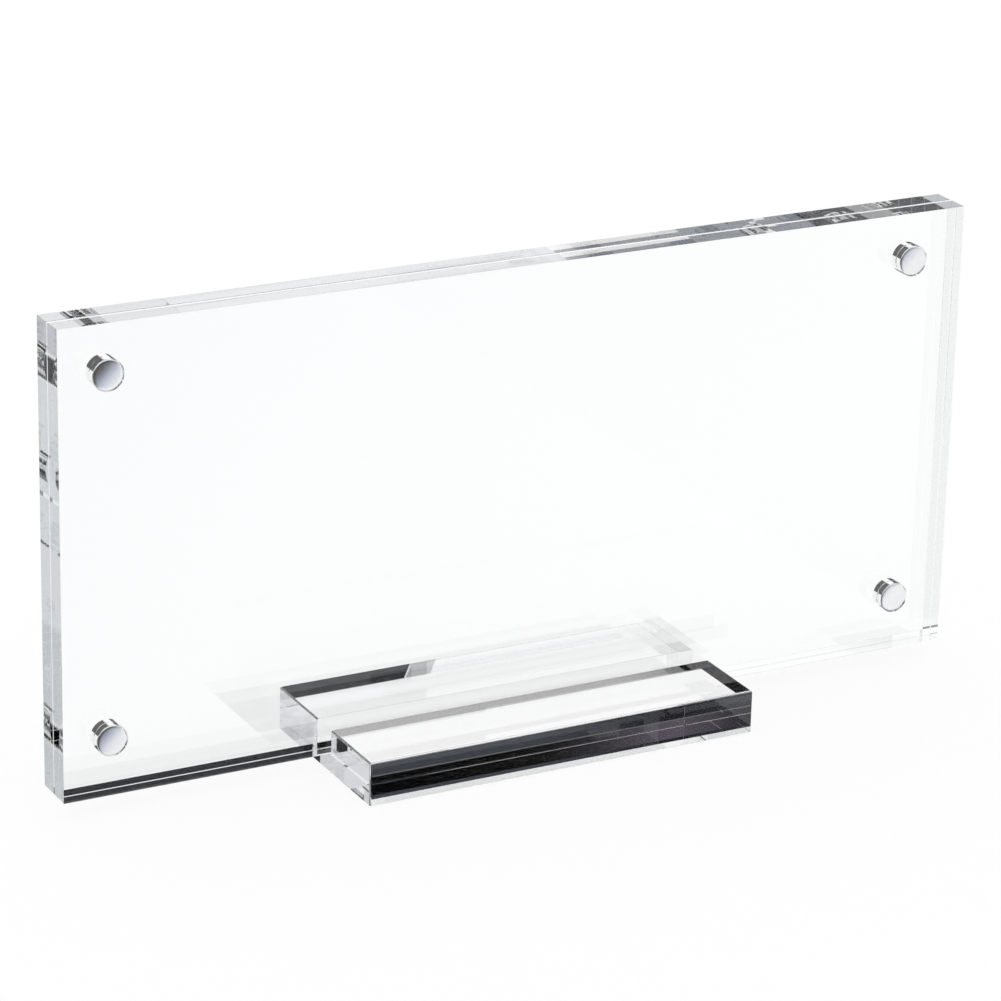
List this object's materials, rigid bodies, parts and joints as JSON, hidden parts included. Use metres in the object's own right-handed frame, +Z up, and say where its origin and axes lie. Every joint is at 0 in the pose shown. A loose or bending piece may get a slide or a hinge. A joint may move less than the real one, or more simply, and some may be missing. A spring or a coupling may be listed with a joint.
{
  "type": "acrylic display frame",
  "caption": "Clear block frame: two clear panels held together by disc magnets at the corners, standing upright in a slotted clear base block.",
  "frame": {"origin": "middle of the base block's underside, on the surface that it stands on", "axes": "+X along the frame's width, to the right as seen from the front; -Y towards the front, +Y to the rear; +Z up"},
  "size_m": [0.25, 0.057, 0.125],
  "materials": {
    "clear_acrylic": "polished",
    "nickel_plate": "polished"
  },
  "bodies": {
    "base": {"base_block": "clear_acrylic"},
    "rear_half": {"rear_panel": "clear_acrylic", "rear_magnet_upper_left": "nickel_plate", "rear_magnet_upper_right": "nickel_plate", "rear_magnet_lower_left": "nickel_plate", "rear_magnet_lower_right": "nickel_plate"},
    "front_half": {"front_panel": "clear_acrylic", "front_magnet_upper_left": "nickel_plate", "front_magnet_upper_right": "nickel_plate", "front_magnet_lower_left": "nickel_plate", "front_magnet_lower_right": "nickel_plate"}
  },
  "joints": [
    {"name": "frame_lift", "type": "slide", "parent": "base", "child": "rear_half", "axis": [0, 0, 1], "range_m": [0, 0.04]},
    {"name": "front_panel_lift", "type": "slide", "parent": "rear_half", "child": "front_half", "axis": [0, 0, 1], "range_m": [0, 0.125]}
  ]
}
